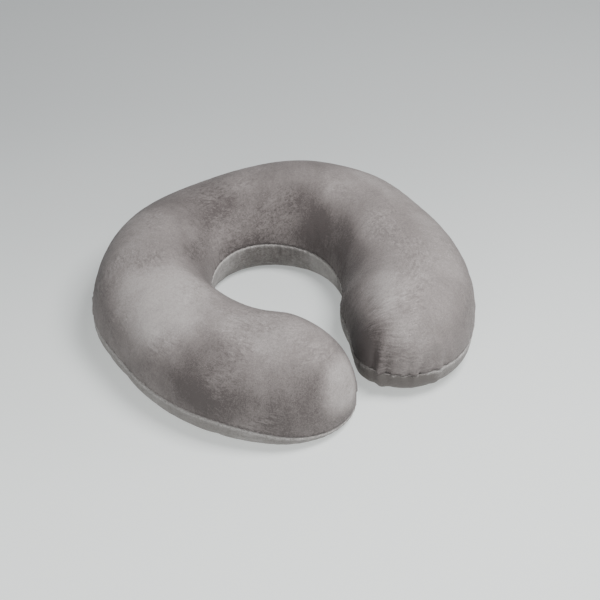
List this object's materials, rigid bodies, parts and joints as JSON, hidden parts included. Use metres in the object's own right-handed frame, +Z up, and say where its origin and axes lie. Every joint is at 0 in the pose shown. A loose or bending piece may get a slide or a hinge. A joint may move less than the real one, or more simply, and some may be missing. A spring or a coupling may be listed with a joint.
{
  "type": "u shaped neck pillow",
  "caption": "Soft ring-shaped travel pillow with an opening in front, a flat base, a removable cover and a zip along its back.",
  "frame": {"origin": "bottom centre of the pillow's bounding box, on the surface it lies on", "axes": "+Z up from the flat base, +X across the arms, -Y towards the opening in front, +Y towards the back of the neck"},
  "size_m": [0.2804, 0.2757, 0.0768],
  "materials": {
    "velour": "matte",
    "liner_cloth": "matte",
    "memory_foam": "matte",
    "sewing_thread": "satin",
    "zip_tape": "matte",
    "zip_nylon": "satin",
    "zip_metal": "satin",
    "label_cloth": "satin"
  },
  "bodies": {
    "pillow": {"foam_core": "memory_foam", "liner_top_panel": "liner_cloth", "liner_bottom_panel": "liner_cloth", "liner_seam_thread": "liner_cloth", "cover_top_panel": "velour", "cover_bottom_panel": "velour", "cover_seam_thread": "sewing_thread", "zip_tape_upper": "zip_tape", "zip_tape_lower": "zip_tape", "zip_coil_upper": "zip_nylon", "zip_coil_lower": "zip_nylon", "zip_stitching_upper": "sewing_thread", "zip_stitching_lower": "sewing_thread", "zip_top_stop_upper": "zip_metal", "zip_top_stop_lower": "zip_metal", "zip_bottom_stop": "zip_metal", "bar_tack_right": "sewing_thread", "bar_tack_left": "sewing_thread", "care_label": "label_cloth"},
    "zip_slider": {"zip_slider_body": "zip_metal"},
    "zip_pull": {"zip_pull_tab": "zip_metal"}
  },
  "joints": [
    {"name": "zip_run", "type": "hinge", "parent": "pillow", "child": "zip_slider", "pos_m": [0, -0.0113, 0.025], "axis": [0, 0, 1], "range_deg": [0, 102.6]},
    {"name": "pull_swing", "type": "hinge", "parent": "zip_slider", "child": "zip_pull", "pos_m": [0.11843, 0.08358, 0.025], "axis": [0, 0, -1], "range_deg": [0, 170]}
  ]
}
